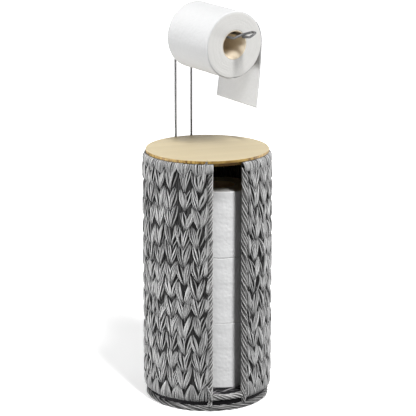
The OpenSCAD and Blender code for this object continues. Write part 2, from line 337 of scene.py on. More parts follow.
# %% [markdown]
# ## Card and tissue
# The tubes are plain brown card. Tissue is a soft white with rows of small embossed
# dents, and the cut ends of a roll show hundreds of layers as fine rings. The dents and
# rings are too small for a mesh, so they are bump: cells in the roll's own coordinates
# for the dents, and noise that is stretched round the axis for the rings.


# %% Card and tissue materials
def tube_card():
    s = Surface("tube_card")
    fibre = s.noise(s.place(), 700, 3.0)
    patch = s.noise(s.place(), 60, 2.0)
    share = (fibre * 0.6 + patch * 0.5 - 0.1).clamped()
    return s.finish(
        Base_Color=s.mix((0.84, 0.75, 0.61), (0.70, 0.59, 0.44), share),
        Roughness=0.85,
        Specular_IOR_Level=0.3,
        bump=fibre,
        height=0.0002,
    )


# bright is how light the tissue is painted; below the stored rolls' 0.92 it is painted shade
def tissue(name, bright):
    s = Surface(name)
    fluff = s.noise(s.place(), 260, 4.0, 0.6)
    dent = s.cells(s.place(source="UV"), "SMOOTH_F1", 0)
    crease = s.noise(s.place(scale=(18, 18, 30)), 1.0, 3.0)
    return s.finish(
        Base_Color=s.shade((0.992, 0.996, 1.0), fluff * 0.04 + crease * 0.05 + (bright - 0.045)),
        Roughness=0.92,
        Specular_IOR_Level=0.2,
        bump=dent * 0.5 + fluff * 0.35 + crease * 0.8,
        height=0.0008,
    )


def shaded_tissue_end():
    """The cut end of a roll. Its coordinates are the turn round the axis and the radius."""
    s = Surface("shaded_tissue_end")
    ring = s.noise(s.place(scale=(1.2, 300, 1), source="UV"), 1.0, 3.0, 0.6)
    wide = s.noise(s.place(scale=(2.0, 30, 1), source="UV"), 1.0, 3.0)
    fluff = s.noise(s.place(), 500, 3.0)
    # The cut end is painted darker than the tissue's white: painted shade
    tone = (ring - 0.5) * 0.07 + (wide - 0.5) * 0.03 + fluff * 0.03 + 0.66
    return s.finish(
        Base_Color=s.shade((1.0, 0.992, 0.965), tone),
        Roughness=0.95,
        Specular_IOR_Level=0.2,
        bump=ring * 0.7 + wide * 0.6 + fluff * 0.3,
        height=0.0005,
    )


card = tube_card()
stored_tissue = tissue("stored_tissue", 0.92)
# The roll on the arm and its hanging end are darker copies of the stored rolls' white tissue:
# painted shade
shaded_hung_tissue = tissue("shaded_hung_tissue", 0.60)
shaded_tail_tissue = tissue("shaded_tail_tissue", 0.56)
shaded_end_tissue = shaded_tissue_end()
print("materials so far:", len(bpy.data.materials))

# %% [markdown]
# ## Points and curves
# The basket is round, so its places are a radius, an angle from the slot and a height.
# A bundle's or border's profile is a smooth curve through a few values, as a maker would
# sketch it. These helpers turn both into points.


# %% Mesh tools
def add_mesh(name, points, faces, material):
    mesh = bpy.data.meshes.new(name)
    mesh.from_pydata((np.asarray(points) * 0.001).tolist(), [], faces)
    mesh.materials.append(material)
    mesh.polygons.foreach_set("use_smooth", [True] * len(mesh.polygons))
    piece = bpy.data.objects.new(name, mesh)
    bpy.context.scene.collection.objects.link(piece)
    return piece


def unit(v):
    return v / np.maximum(np.linalg.norm(v, axis=-1, keepdims=True), 1e-9)


def around(radius, angle, z):
    """A point at an angle in degrees from the slot's middle, to the right seen from the front."""
    a = np.radians(angle)
    points = np.broadcast_arrays(radius * np.sin(a), -radius * np.cos(a), z)
    return np.stack(points, -1).astype(float)


def curve_through(t, knots, values):
    """A smooth curve through the values given at the knots."""
    t = np.asarray(t, float)
    i = np.clip(np.searchsorted(knots, t) - 1, 0, len(knots) - 2)
    k, v = np.asarray(knots, float), np.asarray(values, float)
    h = k[i + 1] - k[i]
    f = (t - k[i]) / h
    slope = np.gradient(v, k)
    return (
        v[i] * (1 + 2 * f) * (1 - f) ** 2
        + v[i + 1] * f * f * (3 - 2 * f)
        + h * f * (1 - f) ** 2 * slope[i]
        + h * f * f * (f - 1) * slope[i + 1]
    )


print("opposite the slot:", around(90.0, 180.0, 0.0).round(1))

# %% [markdown]
# ## Strips
# Nearly everything woven here is the same thing: a narrow folded paper strip that
# follows a line. Strips could be curves with a bevel, but a bevel can't tilt and darken a
# strip along its way. One function makes any number of them as one mesh, from their
# middle lines, the way they face, their half width and arch, and their tone.

# %% Strip maker
# The cut through a folded strip, in half widths across and arches up, and each point's painted
# light:
# painted shade on the edges, the underside and the middle valley, a painted highlight on the two
# folds
SECTION = np.array([[-1, -0.25], [-0.6, 0.8], [-0.05, 0.7], [0.5, 1.0], [1, -0.2], [0, -0.6]])
SECTION_PAINTED_LIGHT = np.array([0.06, 1.15, 0.8, 1.3, 0.08, 0.05])
ROUND = len(SECTION)


def strip_faces(count, stations):
    """The sides of all strips, and then the two ends of each."""
    strip = np.arange(count)[:, None, None] * stations * ROUND
    ring = np.arange(stations - 1)[None, :, None] * ROUND
    a = strip + ring + np.arange(ROUND)
    b = strip + ring + (np.arange(ROUND) + 1) % ROUND
    faces = np.stack([a, b, b + ROUND, a + ROUND], -1).reshape(-1, 4).tolist()
    for i in range(count):
        start = i * stations * ROUND
        faces.append([start + j for j in range(ROUND)][::-1])
        faces.append([start + (stations - 1) * ROUND + j for j in range(ROUND)])
    return faces


def strip_coordinates(mesh, middle):
    """Centimetres along each strip and a share across it, with a start of its own."""
    count = len(middle)
    steps = np.linalg.norm(np.diff(middle, axis=1), axis=2)
    length = np.concatenate([np.zeros((count, 1)), np.cumsum(steps, axis=1)], axis=1)
    u = np.repeat((length / 10 + random.uniform(0, 50, (count, 1)))[:, :, None], ROUND, axis=2)
    v = np.linspace(0, 1, ROUND) * 0.5
    v = np.broadcast_to(v, u.shape) + random.uniform(0, 50, (count, 1, 1))
    corner = np.zeros(len(mesh.loops), np.int32)
    mesh.loops.foreach_get("vertex_index", corner)
    uv = np.stack([u.reshape(-1), v.reshape(-1)], 1)[corner].astype(np.float32)
    mesh.uv_layers.new(name="strip").data.foreach_set("uv", uv.reshape(-1))


def strips(name, laid, material, limit=None):
    """Each strip laid is its middle line, the way it faces there, half width, arch and tone.

    The last three are one number, or one for each point of the line.
    """
    middle, outward, half, arch, tone = (np.array(values) for values in zip(*laid))
    size = middle.shape[:2]
    half, arch, tone = (np.broadcast_to(x.reshape(size[0], -1), size) for x in (half, arch, tone))
    along = unit(np.gradient(middle, axis=1))
    side = unit(np.cross(along, outward))
    up = np.cross(side, along)
    points = (
        middle[:, :, None]
        + SECTION[:, 0][:, None] * half[:, :, None, None] * side[:, :, None]
        + SECTION[:, 1][:, None] * arch[:, :, None, None] * up[:, :, None]
    )
    if limit is not None:
        points = limit(points)
    piece = add_mesh(name, points.reshape(-1, 3), strip_faces(*size), material)
    strip_coordinates(piece.data, middle)
    # Each point's tone is multiplied by the painted shade and highlight of its place in the cut
    values = (tone[:, :, None] * SECTION_PAINTED_LIGHT).astype(np.float32).reshape(-1)
    piece.data.attributes.new("tone", "FLOAT", "POINT").data.foreach_set("value", values)
    return piece


print("a strip's cut has", ROUND, "points")

# %% [markdown]
# ## The weave
# Seen from outside, the basket looks knitted: columns of V shapes, each V two plump
# bundles of three to five strips that come out between the two bundles below and lean
# apart until they disappear behind the next V. Under each tip a gap stays open, dark over
# strips that are painted near black as painted shade, and each strip is painted darker
# towards its tucked ends as painted shade. A displaced cylinder would give the pattern but
# none of its gaps. So each bundle is laid strip by strip: they start together, spread and
# bulge in the middle and close at the top. Sizes, leans and greys vary by chance, from one
# seed, so each run gives the same basket. The weaver works round and round, and each turn
# of Vs is one piece.

# %% Places of the Vs
# Angles are in degrees from the middle of the slot
COLUMNS = 24
FIRST_COLUMN = 27.6
COLUMN_STEP = (360 - 2 * FIRST_COLUMN) / (COLUMNS - 1)
ROWS = 12
FIRST_TIP = 30.5
ROW_STEP = 26.7
BUNDLE_HEIGHT = 38.5
BUNDLE_WIDTH = 4.15
WEAVE_RADIUS = 92
OUTERMOST = 93.6
BESIDE_SLOT = (21.6, 360 - 21.6)
column_angles = FIRST_COLUMN + COLUMN_STEP * np.arange(COLUMNS)
column_shift = dict(zip(column_angles, random.normal(0, 3.2, COLUMNS)))
print("one V each", round(COLUMN_STEP, 2), "degrees and", ROW_STEP, "mm")


# %% Weave rows
def bundle(centre, lean, foot, edge):
    """The strips of one bundle. edge tells the narrow and short ones beside the slot."""
    t = np.linspace(0, 1, 11)
    swell = np.sin(np.pi * t)
    height = BUNDLE_HEIGHT * (0.8 if edge else 1.0) + random.normal(0, 2.8)
    foot = foot + (ROW_STEP * 0.45 if edge else 0.0)
    reach = COLUMN_STEP / 2 * random.uniform(0.7, 1.2) * (0.3 if edge else 1.0)
    bulge = random.normal(0, 0.35)
    bundle_tone = random.normal(0, 0.07)
    width = BUNDLE_WIDTH * random.uniform(0.85, 1.15) * (0.4 if edge else 1.0)
    bow = random.normal(0, 1.1)
    spread = curve_through(t, [0, 0.2, 0.5, 0.8, 1], [0.06, 0.52, 1.0, 0.7, 0.2]) * width
    profile_at, profile = [0, 0.08, 0.4, 0.75, 0.9, 1], [88.8, 91.0, 92.8, 91.4, 89.6, 88.2]
    radius = curve_through(t, profile_at, profile) + bulge
    half = curve_through(t, [0, 0.3, 0.7, 1], [0.75, 1.3, 1.25, 0.8])
    # Painted shade: each strip grows darker toward both of its tucked ends
    painted_tip_shade = curve_through(t, [0, 0.14, 0.7, 1], [0.2, 1.0, 0.95, 0.15])
    laid = []
    count = 4 + int(random.integers(-1, 2))
    for k in range(count):
        w = (k - (count - 1) / 2) / ((count - 1) / 2)
        w = w + random.normal(0, 0.13)
        wander = random.normal(0, 0.45) * np.sin(2 * np.pi * t + random.uniform(0, 6.28))
        across = w * spread + bow * swell + wander
        r = radius + 1.7 * (1 - w * w) * swell**0.8 - 0.9 + random.normal(0, 0.6)
        angle = centre + lean * reach * (0.04 + 0.96 * t) + np.degrees(across / WEAVE_RADIUS)
        z = foot + height * t + random.normal(0, 0.8) - 0.6 * w * lean * swell
        roll = 0.5 * w + random.normal(0, 0.4)
        laid.append((
            around(np.minimum(r, OUTERMOST), angle, z),
            around(1.0, angle + np.degrees(roll), np.zeros_like(t)),
            half * random.uniform(0.6, 0.95),
            1.15 * random.uniform(0.75, 1.25),
            (1.0 + bundle_tone + random.normal(0, 0.18)) * painted_tip_shade,
        ))
    return laid


def bundle_row(name, tip_z):
    """One turn of Vs, with half a V at each side of the slot."""
    leaves = [(c, lean) for c in column_angles for lean in (-1, 1)]
    leaves = [(BESIDE_SLOT[0], -1)] + leaves + [(BESIDE_SLOT[1], 1)]
    middle_share = math.sin(math.pi * (tip_z - FIRST_TIP) / ((ROWS - 1) * ROW_STEP))
    laid = []
    for i, (centre, lean) in enumerate(leaves):
        edge = centre in BESIDE_SLOT
        if lean < 0 or edge:
            drift = 1.4 * math.sin(i * 0.9 + tip_z * 0.31) + random.normal(0, 1.5)
            drift += column_shift.get(centre, 0.0) * middle_share
            sway = random.normal(0, 0.7)
        laid += bundle(centre + sway, lean, tip_z + drift, edge)
    return strips(name, laid, weave_paper)


def under_layer(name):
    """The strips that pass behind the bundles, seen only in the gaps between them, in near-black
    paper that is painted shade.
    """
    t = np.linspace(0, 1, 60)
    angles = np.arange(20.6, 339.6, 1.75)
    tones = random.normal(1.0, 0.3, len(angles))
    laid = []
    for i, (a, tone) in enumerate(zip(angles, tones)):
        r = 89.9 + 0.5 * np.sin(t * 70 + i * 1.7)
        middle = around(r, a + 0.5 * np.sin(t * 60 + i), 22 + 337 * t)
        outward = around(1.0, a + 18 * np.sin(t * 47 + i * 2.3), 0 * t)
        laid.append((middle, outward, 1.5, 0.7, tone))
    return strips(name, laid, painted_shade_paper)


under = under_layer("weave_under_layer")
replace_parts(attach(under, "basket"), "woven_wall")
rows = [bundle_row(f"weave_row_{i + 1:02d}", FIRST_TIP + i * ROW_STEP) for i in range(ROWS)]
for piece in rows:
    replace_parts(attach(piece, "basket"), "woven_wall", "stakes")
print("weave:", len(rows), "rows,", sum(len(p.data.polygons) for p in rows), "faces")

# %% [markdown]
# ## The two borders
# At the rim the strips fan out from the last tips, lie over the hoop and end inside. At
# the foot they fan out from between the first Vs and go under the lower hoop. Both are
# the same fan along a different profile, so one function takes the profile as a few
# heights and radii. The fans at the slot's corners are narrower and start higher.


# %% Borders
def fan_border(name, centres, per_fan, knots, path_z, path_r, spread_at, share=1.0):
    """path_z and path_r give the line from the tip outwards, spread_at how wide the fan is."""
    t = np.linspace(0, 1, 16)
    zs, rs = curve_through(t, knots, path_z), curve_through(t, knots, path_r)
    wide = curve_through(t, knots, spread_at)
    slope_z, slope_r = np.gradient(zs), np.gradient(rs)
    norm = np.hypot(slope_z, slope_r)
    flip = 1.0 if slope_z[2] > 0 else -1.0
    touching = 0.88 * np.radians(COLUMN_STEP) * 90 / per_fan / 2
    half = np.maximum(0.5, touching * (0.35 + 0.65 * wide))
    laid = []
    for centre in centres:
        centre = centre + random.normal(0, 0.3)
        for k in range(per_fan):
            w = ((k + 0.5) / per_fan * 2 - 1) + random.normal(0, 0.05)
            angle = centre + w * wide * share * COLUMN_STEP / 2
            r = rs + random.normal(0, 0.25) * np.minimum(1, 3 * t)
            middle = around(r, angle, zs + random.normal(0, 0.25))
            faced = angle + np.degrees(random.normal(0, 0.25))
            outward = around(flip * slope_z / norm, faced, -flip * slope_r / norm)
            laid.append((middle, outward, half, 0.9, 1.0 + random.normal(0, 0.18)))
    return strips(name, laid, weave_paper)


RIM_KNOTS = [0, 0.2, 0.4, 0.55, 0.7, 0.82, 1]
RIM_CORNER = 18.6
rim = fan_border(
    "rim_fans", column_angles, 9, RIM_KNOTS,
    [349, 354, 360.5, 364.5, 366.1, 363.5, 350],
    [89.5, 92.2, 92.8, 91.3, 88.3, 85.9, 85.3],
    [0.15, 0.62, 0.95, 1, 1, 1, 1],
)
corner_fans = fan_border(
    "rim_corner_fans", [RIM_CORNER, 360 - RIM_CORNER], 7, RIM_KNOTS,
    [353.5, 355, 359.5, 364.0, 366.1, 363.5, 352],
    [90.6, 93.2, 93.8, 92.0, 88.3, 85.6, 85.3],
    [0.6, 0.9, 1, 1, 1, 1, 1],
    share=0.62,
)
between = np.concatenate([[FIRST_COLUMN - COLUMN_STEP / 2], column_angles + COLUMN_STEP / 2])
between[[0, -1]] += 0.8, -0.8
foot = fan_border(
    "foot_fans", between, 9,
    [0, 0.2, 0.45, 0.65, 0.8, 1],
    [41, 34, 25, 19, 15.8, 17.2],
    [88.8, 91.5, 92.9, 92.4, 89.5, 86.9],
    [0.1, 0.5, 0.9, 1, 1, 1],
)
for piece in (rim, corner_fans):
    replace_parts(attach(piece, "basket"), "rim_border")
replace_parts(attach(foot, "basket"), "lower_border")
print("borders:", sum(len(p.data.polygons) for p in (rim, corner_fans, foot)), "faces")

# %% [markdown]
# ## The inside of the wall
# Inside, the weave shows as plain upright strips, and hardly any light reaches them. Their
# paper is painted about half as light as the outside's, as painted shade. The Vs could be
# laid there again, but only a dark stripe of it shows under the lid, so straight strips
# that waver a little are enough.

# %% Inner wall
inner_at = np.linspace(0, 1, 24)
inner_angles = np.arange(20.2, 340, 1.9)
inner_tones = 1.0 + random.normal(0, 0.25, len(inner_angles))
laid = []
for i, (a, tone) in enumerate(zip(inner_angles, inner_tones)):
    r = 86.9 + 0.5 * np.sin(inner_at * 80 + i)
    middle = around(r, a + 0.25 * np.sin(inner_at * 9 + i * 2.1), 17 + 348 * inner_at)
    laid.append((middle, -around(1.0, a, 0 * inner_at), 1.75, 0.6, tone))
inner = strips("inner_strips", laid, shaded_inner_paper)
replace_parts(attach(inner, "basket"), "woven_wall")
print("inner wall:", len(laid), "strips")

# %% [markdown]
# ## Along a line
# The wraps turn round a wire, and the arm is a wire itself. Both need the same two
# things: points at even distances on a line, and two directions across it that don't
# twist on their own, so that the only twist is the maker's.


# %% Line tools
def frames_along(line):
    """Two directions across a line at each of its points, with no twist of their own."""
    along = unit(np.gradient(line, axis=0))
    first = np.cross(along[0], [0.0, 0.0, 1.0])
    if np.linalg.norm(first) < 0.2:
        first = np.cross(along[0], [0.0, 1.0, 0.0])
    u = [unit(first)]
    for d in along[1:]:
        u.append(unit(u[-1] - d * np.dot(u[-1], d)))
    u = np.array(u)
    return u, np.cross(along, u)


def resampled(line, step):
    """The line's points at even distances, and how far along it each one is."""
    line = np.asarray(line, float)
    s = np.concatenate([[0], np.cumsum(np.linalg.norm(np.diff(line, axis=0), axis=1))])
    at = np.linspace(0, s[-1], max(4, int(round(s[-1] / step)) + 1))
    return np.stack([np.interp(at, s, line[:, i]) for i in range(3)], 1), at


def arc_line(radius, z, start, end):
    """Part of a circle round the basket, between two angles."""
    return around(radius, np.linspace(start, end, max(8, int(abs(end - start) * 1.5))), z)


print("a quarter of the hoop has", len(arc_line(88, 0, 0, 90)), "points")

# %% [markdown]
# ## Wraps
# The posts, the sill, the feet and the base ring are wires wrapped in twisted strips.
# They lie side by side round the wire like the strands of a rope. A spiral bump on a tube
# would look like a screw, so one function lays real strands along any line, each of three
# strips. The base ring's wrap is pressed flat underneath, where it stands, and the others
# keep clear of the floor board.

# %% Wrap maker
ACROSS_STRAND = (-1.0, 0.0, 1.0)


def wrap(name, line, radius, lay, hand, strands, limit, taper=0.0, shade=1.0):
    """lay is the length of one turn, hand its direction and taper the length of its thin start.
    shade scales the wrap's whole tone: painted light above 1, painted shade below 1.
    """
    line, s = resampled(line, 2.2)
    u, v = frames_along(line)
    size = np.clip(s / taper, 0.35, 1) ** 0.5 if taper else np.ones_like(s)
    half = np.full_like(s, 0.86 * np.pi * radius / strands / len(ACROSS_STRAND)) * size
    laid = []
    for j in range(strands):
        start = 2 * np.pi * (j + random.normal(0, 0.1)) / strands
        strand_tone = random.normal(0, 0.14)
        slip = random.uniform(0, 6.28, 3)
        patch = 0.12 * np.sin(s / 23 + slip[1] + j)
        for k, w in enumerate(ACROSS_STRAND):
            turned_by = start + w * np.pi / strands * 0.62 + hand * 2 * np.pi * s / lay
            turned_by = turned_by + 0.16 * np.sin(s / 19 + slip[0]) + 0.08 * np.sin(s / 8 + slip[1])
            lift = (radius - 0.85 - 1.2 * w * w + 0.35 * np.sin(s / 9 + slip[2] + k)) * size
            across = np.cos(turned_by)[:, None] * u + np.sin(turned_by)[:, None] * v
            lean = turned_by + 0.4 * w
            outward = np.cos(lean)[:, None] * u + np.sin(lean)[:, None] * v
            # - 1.05 * abs(w) is painted shade on each strand's side strips, in the grooves between
            #   strands; strand_tone, patch and the random part are the paper's own tone
            tone = 1.5 + strand_tone + patch - 1.05 * abs(w) + random.normal(0, 0.2)
            middle, tone = line + lift[:, None] * across, np.maximum(0.2, tone) * shade
            laid.append((middle, outward, half, 0.95, tone))
    return strips(name, laid, rope_paper, limit)


def pressed_flat(points):
    """Nothing below the floor."""
    points = points.copy()
    points[..., 2] = np.maximum(points[..., 2], 0.02)
    return points


def clear_of_board(points):
    """Beside the floor board, nothing nearer to the middle than its edge."""
    board_edge, board_bottom, board_top = 86.4, 8, 23.3
    points = points.copy()
    r = np.hypot(points[..., 0], points[..., 1])
    near = (points[..., 2] < board_top) & (points[..., 2] > board_bottom) & (r < board_edge)
    points[..., :2] *= np.where(near, board_edge / np.maximum(r, 1), 1.0)[..., None]
    return points


print("each strand has", len(ACROSS_STRAND), "strips")

# %% Wraps
HOOP, HOOP_Z = 88.0, 20.4
RING, RING_Z = 86.6, 3.9
RIM_Z = 359.5
POST_ANGLE = 17.05
POST_CIRCLE = math.hypot(HOOP, 6)
FOOT_CIRCLE = 88.1


def post_line(side, bottom):
    """Straight up a post and into the rim."""
    return around(POST_CIRCLE, side * POST_ANGLE, np.arange(bottom, RIM_Z + 1, 2.0))


def foot_line(side, *heights):
    return [around(FOOT_CIRCLE, side * POST_ANGLE, z) for z in heights]


# shade lifts the right post and the sill as painted light and darkens the base ring as painted
# shade
upper = {"strands": 5, "limit": clear_of_board}
right = {**upper, "taper": 7, "shade": 1.12}
sill = {**upper, "shade": 1.45}
ring = {"strands": 6, "limit": pressed_flat, "shade": 0.62}
wraps = []
for name, node, line, radius_lay_hand, how in (
    ("left_post_strands", "left_post_wrap", post_line(-1, 16.2), (4.2, 33, 1), upper),
    ("right_post_strands", "right_post_wrap", post_line(1, 10.5), (4.6, 46, -1), right),
    ("sill_strands", "sill_wrap", arc_line(HOOP, HOOP_Z, -14.4, 14.4), (4.3, 44, 1), sill),
    ("ring_strands_left", "base_ring_wrap", arc_line(RING, RING_Z, -17, -197), (4.3, 84, 1), ring),
    ("ring_strands_right", "base_ring_wrap", arc_line(RING, RING_Z, -17, 163), (4.3, 84, 1), ring),
    ("foot_strands_left", "foot_wraps", foot_line(-1, 7.5, 10, 13, 16.4), (3.3, 26, 1), upper),
    ("foot_strands_right", "foot_wraps", foot_line(1, 7.5, 9, 11, 12.5), (2.6, 26, -1), upper),
):
    wraps.append((wrap(name, line, *radius_lay_hand, **how), node))
for piece, node in wraps:
    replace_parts(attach(piece, "basket"), node)
print("wraps:", sum(len(piece.data.polygons) for piece, _ in wraps), "faces")

# %% [markdown]
# ## The arm
# The arm is one steel wire: two legs behind the basket, two rods that slope forward
# through the roll, and a crossed loop at the end that keeps the roll on. A wire bender
# makes it from a list of corners and bend radii. A curve with a bevel would do too, but
# its bends come out as its handles fall. So this cell rounds each corner of the CAD path
# with a true arc and sweeps a circle along the result.

# %% The roll's own axis
roll_face = np.array([29.992, -30.517, 524.3])
forward = np.array([0.28039958, -0.95889177, -0.04361939])
sideways = np.array([0.95980529, 0.28066671, 0.0])
upward = np.array([0.01224251, -0.04186612, 0.99904822])


def on_arm(x, y, z):
    """x to the right, y up and z forward, from the middle of the roll's front end."""
    return roll_face + x * sideways + y * upward + z * forward


print("front end of the roll at", roll_face)


# %% Wire tools
def rounded(points, bends, step=4.0):
    """The corners of a wire's path, each rounded with an arc of its own radius."""
    line = [points[0]]
    for before, corner, after, radius in zip(points, points[1:], points[2:], bends[1:]):
        d1, d2 = unit(corner - before), unit(after - corner)
        angle = math.acos(float(np.clip(np.dot(d1, d2), -1, 1)))
        taken = radius * math.tan(angle / 2)
        inward = np.cross(unit(np.cross(d1, d2)), d1)
        centre = corner - d1 * taken + inward * radius
        for a in np.linspace(0, angle, max(4, int(angle * 8))):
            line.append(centre - inward * radius * math.cos(a) + d1 * radius * math.sin(a))
    line.append(points[-1])
    full = [line[0]]
    for start, end in zip(line, line[1:]):
        parts = max(1, int(np.linalg.norm(end - start) / step))
        full += [start + (end - start) * (k + 1) / parts for k in range(parts)]
    return np.array(full)


def swept(name, line, radius, material, sides=20):
    """A round wire along a line, closed at both ends."""
    u, v = frames_along(line)
    a = np.linspace(0, 2 * np.pi, sides, endpoint=False)
    circle = np.cos(a)[None, :, None] * u[:, None] + np.sin(a)[None, :, None] * v[:, None]
    points = (line[:, None] + radius * circle).reshape(-1, 3)
    faces = []
    for i in range(0, (len(line) - 1) * sides, sides):
        for j in range(sides):
            k = (j + 1) % sides
            faces.append((i + j, i + k, i + sides + k, i + sides + j))
    faces.append(tuple(range(sides))[::-1])
    faces.append(tuple((len(line) - 1) * sides + j for j in range(sides)))
    return add_mesh(name, points, faces, material)


print("a square bend of 8 mm takes", round(8 * math.tan(math.pi / 4), 1), "mm of each leg")

# %% Arm
WIRE_RADIUS = 1.7
ROD_SIDE, ROD_UP, ROD_END = 12.282, 12.884, 13
CROSS_UP, CROSS_APART, CROSS_END = 3.77, 1.955, 18.664
arm_path = [
    (np.array([-17.950, 89.671, 17.0]), 0),
    (np.array([-17.950, 89.671, 542.82]), 8),
    (on_arm(-ROD_SIDE, ROD_UP, ROD_END), 5),
    (on_arm(0, ROD_UP + CROSS_UP + CROSS_APART, CROSS_END), 5),
    (on_arm(8, ROD_UP + 10.14, 29.815), 5),
    (on_arm(0, ROD_UP + 13, 48.4), 4.5),
    (on_arm(-8, ROD_UP + 6.89, 45.497), 4.5),
    (on_arm(0, ROD_UP + CROSS_UP - CROSS_APART, CROSS_END), 5),
    (on_arm(ROD_SIDE, ROD_UP, ROD_END), 5),
    (np.array([7.206, 91.166, 542.575]), 8),
    (np.array([7.206, 91.166, 17.0]), 0),
]
arm = swept("arm_wire", rounded(*zip(*arm_path)), WIRE_RADIUS, arm_steel)
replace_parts(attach(arm, "basket"), "roll_arm")
print("arm:", len(arm_path) - 2, "bends,", len(arm.data.polygons), "faces")

# %% [markdown]
# ## Rolls
# A roll is tissue wound on a card tube. Its outside is not a true cylinder: the edges are
# soft, the layers leave shallow waves, and the ends show the layers as rings. It could be
# a cylinder with a bevel. Here the outline is turned round the axis, with more points at
# the soft edges, and each point is moved a little in or out. The three stored rolls
# differ from each other in these waves.

# %% Turned bodies
DENT = 5.0


def waves(a, heights, seed):
    """Six shallow waves round a roll, each turned a little with the height."""
    rng = np.random.default_rng(seed)
    total_wave = 0
    for n in range(1, 7):
        strength, start, twist = rng.normal(0, 1.0 / n), rng.uniform(0, 6.28), rng.normal(0, 2.0)
        total_wave = total_wave + strength * np.sin(n * a[:, None] + start + heights / 98 * twist)
    return total_wave


def roll_coordinates(mesh, outline, segments, has_ends):
    """One unit for each dent on the outside, and on the ends the turn and the radius."""
    closed = np.vstack([outline, outline[:1]])
    steps = np.diff(closed, axis=0)
    length = np.concatenate([[0], np.cumsum(np.linalg.norm(steps, axis=1))])
    is_end = np.abs(steps[:, 1]) < 0.25 * np.abs(steps[:, 0])
    coords = []
    for p in mesh.polygons:
        i, j = divmod(p.index, len(outline))
        edges = [j, j, j + 1, j + 1]
        if has_ends and is_end[j]:
            p.material_index = 1
            full_turn, across = 6.28, closed[edges, 0] / 1000
        else:
            full_turn, across = 2 * math.pi * 49 / DENT, length[edges] / DENT
        coords += [(q / segments * full_turn, w) for q, w in zip((i, i + 1, i + 1, i), across)]
    uv = mesh.uv_layers.new(name="UVMap")
    uv.data.foreach_set("uv", np.array(coords, np.float32).reshape(-1))


def turned(name, outline, material, place, wobble=0.0, segments=160, seed=0, end_material=None):
    """Turns (radius, height) points round an axis. wobble says how far each one may move."""
    outline = np.asarray(outline, float)
    n = len(outline)
    a = np.linspace(0, 2 * np.pi, segments, endpoint=False)
    r = outline[:, 0] + waves(a, outline[:, 1], seed) * wobble
    x, y = r * np.cos(a[:, None]), r * np.sin(a[:, None])
    points = place(np.stack([x, y, np.broadcast_to(outline[:, 1], r.shape)], -1))
    faces = []
    for i in range(segments):
        k = (i + 1) % segments
        for j in range(n):
            m = (j + 1) % n
            faces.append((i * n + j, k * n + j, k * n + m, i * n + m))
    piece = add_mesh(name, points.reshape(-1, 3), faces, material)
    if end_material:
        piece.data.materials.append(end_material)
    roll_coordinates(piece.data, outline, segments, bool(end_material))
    return piece


print("embossed dents every", DENT, "mm")

# %% Outlines of a roll
ROLL_WIDTH = 98
TUBE_INNER, TUBE_OUTER = 19.8, 21.0
STORED_RADIUS, HUNG_RADIUS = 49.5, 48.5


def paper_outline(outer, soft):
    """The cut through one side of a roll: inner edge, end, soft edge, outside and back."""
    end_r = (TUBE_OUTER + 0.8, outer - soft)
    points = [(TUBE_OUTER, 0.3)]
    points += [(r, 0.12 * math.sin(r * 0.9)) for r in np.linspace(*end_r, 9)]
    for a in np.radians([12, 30, 48, 66, 82]):
        points.append((outer - soft + soft * math.sin(a), soft - soft * math.cos(a)))
    for z in np.linspace(soft + 1.5, ROLL_WIDTH - soft - 1.5, 24):
        points.append((outer - 0.15 + 0.15 * math.sin(z * 0.21), z))
    for a in np.radians([8, 24, 42, 60, 78]):
        points.append((outer - soft + soft * math.cos(a), ROLL_WIDTH - soft + soft * math.sin(a)))
    points += [(r, ROLL_WIDTH - 0.12 * math.sin(r * 0.9)) for r in np.linspace(*end_r[::-1], 9)]
    points.append((TUBE_OUTER, ROLL_WIDTH - 0.3))
    return points


def soft_wobble(outline, outer, amount=0.22):
    """Full waves on the outside and none at the tube."""
    r = np.asarray(outline)[:, 0]
    return np.clip((r - 21.2) / (outer - 21.2), 0, 1) * amount


near_end = [(TUBE_INNER, 0.4), (20.1, 0.1), (20.8, 0.1), (TUBE_OUTER, 0.4)]
core_outline = near_end + [(r, ROLL_WIDTH - z) for r, z in near_end[::-1]]
print("the card is", round(TUBE_OUTER - TUBE_INNER, 1), "mm thick")

# %% Stored rolls
STORED_PLACE = (16, -10)
for i, (bottom, soft) in enumerate(((23.6, 0.5), (122.0, 0.5), (220.4, 1.1))):
    lift = np.array([*STORED_PLACE, bottom])
    outline = paper_outline(STORED_RADIUS, soft)
    paper = turned(
        f"stored_roll_{i + 1}_paper", outline, stored_tissue, lambda p, lift=lift: p + lift,
        soft_wobble(outline, STORED_RADIUS), seed=i + 3, end_material=shaded_end_tissue,
    )
    core = turned(
        f"stored_roll_{i + 1}_core", core_outline, card, lambda p, lift=lift: p + lift, segments=96
    )
    body = "upper_stored_roll" if i == 2 else "basket"
    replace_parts(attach(paper, body), f"stored_paper_{i + 1}")
    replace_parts(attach(core, body), f"stored_core_{i + 1}")
print("stored rolls:", len(paper.data.polygons), "faces each")


# %% The roll on the arm
def onto_arm(p):
    """From the roll's own axis to the arm: z runs forward and ends at the front end."""
    from_front = p[..., 2:] - ROLL_WIDTH
    return roll_face + p[..., :1] * sideways + p[..., 1:2] * upward + from_front * forward


outline = paper_outline(HUNG_RADIUS, 1.8)
hung = turned(
    "hung_roll_paper", outline, shaded_hung_tissue, onto_arm,
    soft_wobble(outline, HUNG_RADIUS, 0.15), seed=11, end_material=shaded_end_tissue,
)
hung_core = turned("hung_roll_core", core_outline, card, onto_arm, segments=96)
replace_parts(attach(hung, "hung_roll"), "roll_paper")
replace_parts(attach(hung_core, "hung_roll"), "roll_core")
print("roll on the arm:", len(hung.data.polygons), "faces")

# %% [markdown]
# ## The hanging end
# The last length of paper leaves the roll at its right-hand side and hangs down with the
# curl it kept from the roll. Cloth simulation could hang it, but paper this short keeps
# the form that it was wound in. So it is one thin sheet: it starts flat on the roll,
# where it can't be told from the layer below, and leaves it along a wide arc.

